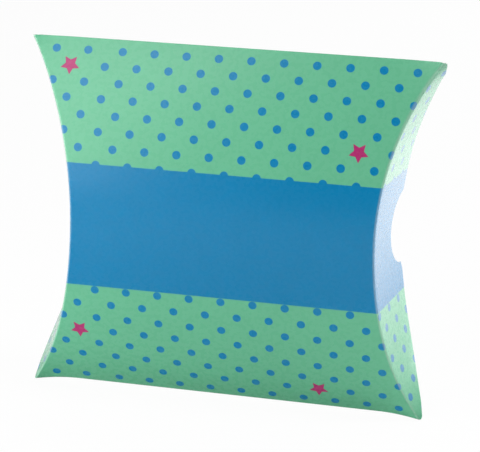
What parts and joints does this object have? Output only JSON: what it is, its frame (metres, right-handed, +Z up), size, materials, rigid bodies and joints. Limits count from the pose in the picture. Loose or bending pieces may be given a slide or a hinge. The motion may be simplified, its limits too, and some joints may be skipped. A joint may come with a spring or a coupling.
{
  "type": "pillow box",
  "caption": "Paperboard pillow box with bowed front and back panels, concave ends closed by overlapping fold-in flaps with a thumb cut, and a glued top seam.",
  "frame": {"origin": "middle of the bottom fold's flat outside, on the surface that the box stands on", "axes": "+X along the width to the right seen from the front, +Y from the front panel to the back panel, +Z up from the bottom fold to the top seam"},
  "size_m": [0.1376, 0.0326, 0.122],
  "materials": {
    "printed_board": "printed outside, satin varnish, bare white inside",
    "raw_board": "uncoated",
    "adhesive": "dried glue film"
  },
  "bodies": {
    "shell": {"front_panel": "printed_board", "back_panel": "printed_board", "bottom_fold": "printed_board", "top_fold": "printed_board", "glue_tab": "raw_board", "glue_line": "adhesive"},
    "right_outer": {"right_outer_flap": "printed_board"},
    "right_inner": {"right_inner_flap": "printed_board"},
    "left_outer": {"left_outer_flap": "printed_board"},
    "left_inner": {"left_inner_flap": "printed_board"}
  },
  "joints": [
    {"name": "right_outer_fold", "type": "hinge", "parent": "shell", "child": "right_outer", "pos_m": [0.05159, -0.0163, 0.061], "axis": [0, 0, -1], "range_deg": [0, 90]},
    {"name": "right_inner_fold", "type": "hinge", "parent": "shell", "child": "right_inner", "pos_m": [0.05089, 0.0163, 0.061], "axis": [0, 0, 1], "range_deg": [0, 90]},
    {"name": "left_outer_fold", "type": "hinge", "parent": "shell", "child": "left_outer", "pos_m": [-0.05159, -0.0163, 0.061], "axis": [0, 0, 1], "range_deg": [0, 90]},
    {"name": "left_inner_fold", "type": "hinge", "parent": "shell", "child": "left_inner", "pos_m": [-0.05089, 0.0163, 0.061], "axis": [0, 0, -1], "range_deg": [0, 90]}
  ],
  "couplings": [
    {"joint": "right_inner_fold", "follows": "right_outer_fold", "ratio": 1},
    {"joint": "left_inner_fold", "follows": "left_outer_fold", "ratio": 1}
  ]
}
